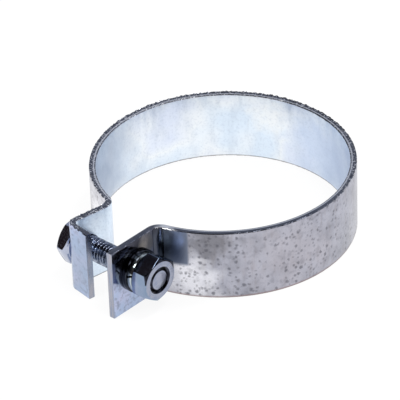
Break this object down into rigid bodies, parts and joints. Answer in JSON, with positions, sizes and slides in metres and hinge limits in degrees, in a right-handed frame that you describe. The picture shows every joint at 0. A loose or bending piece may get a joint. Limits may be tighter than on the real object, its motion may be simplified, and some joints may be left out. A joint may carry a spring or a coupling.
{
  "type": "exhaust clamp",
  "caption": "Band clamp for an exhaust pipe: one folded steel strip with two ears, one lipped, drawn together by a bolt, washers and nut.",
  "frame": {"origin": "centre of the pipe bore, half way up the band", "axes": "+Z along the pipe; the band's gap and its ears toward -Y; the bolt along X with its head at -X and the nut at +X"},
  "size_m": [0.09, 0.1104, 0.025],
  "materials": {
    "plated_strip": "zinc plated, satin, scuffed",
    "bright_bolt": "bright zinc plated",
    "bright_washer": "bright zinc plated",
    "spring_steel": "bright zinc plated",
    "bright_nut": "bright zinc plated"
  },
  "bodies": {
    "strap": {"clamp_strap": "plated_strip"},
    "bolt": {"hex_bolt": "bright_bolt"},
    "flat_washer": {"flat_washer": "bright_washer"},
    "spring_washer": {"spring_washer": "spring_steel"},
    "nut": {"hex_nut": "bright_nut"}
  },
  "joints": [
    {"name": "bolt_turn", "type": "hinge", "parent": "strap", "child": "bolt", "pos_m": [-0.01466, -0.0537, 0.0008], "axis": [1, 0, 0], "continuous": true},
    {"name": "flat_washer_slide", "type": "slide", "parent": "strap", "child": "flat_washer", "axis": [1, 0, 0], "range_m": [0, 0.0025]},
    {"name": "nut_travel", "type": "slide", "parent": "bolt", "child": "spring_washer", "axis": [1, 0, 0], "range_m": [0, 0.005]},
    {"name": "nut_spin", "type": "hinge", "parent": "spring_washer", "child": "nut", "pos_m": [0.0138, -0.0537, 0.0008], "axis": [1, 0, 0], "range_deg": [0, 1440]}
  ],
  "couplings": [
    {"joint": "nut_travel", "follows": "nut_spin", "m_per_rad": 0.00019894},
    {"joint": "flat_washer_slide", "follows": "nut_spin", "m_per_rad": 0.00009947}
  ]
}
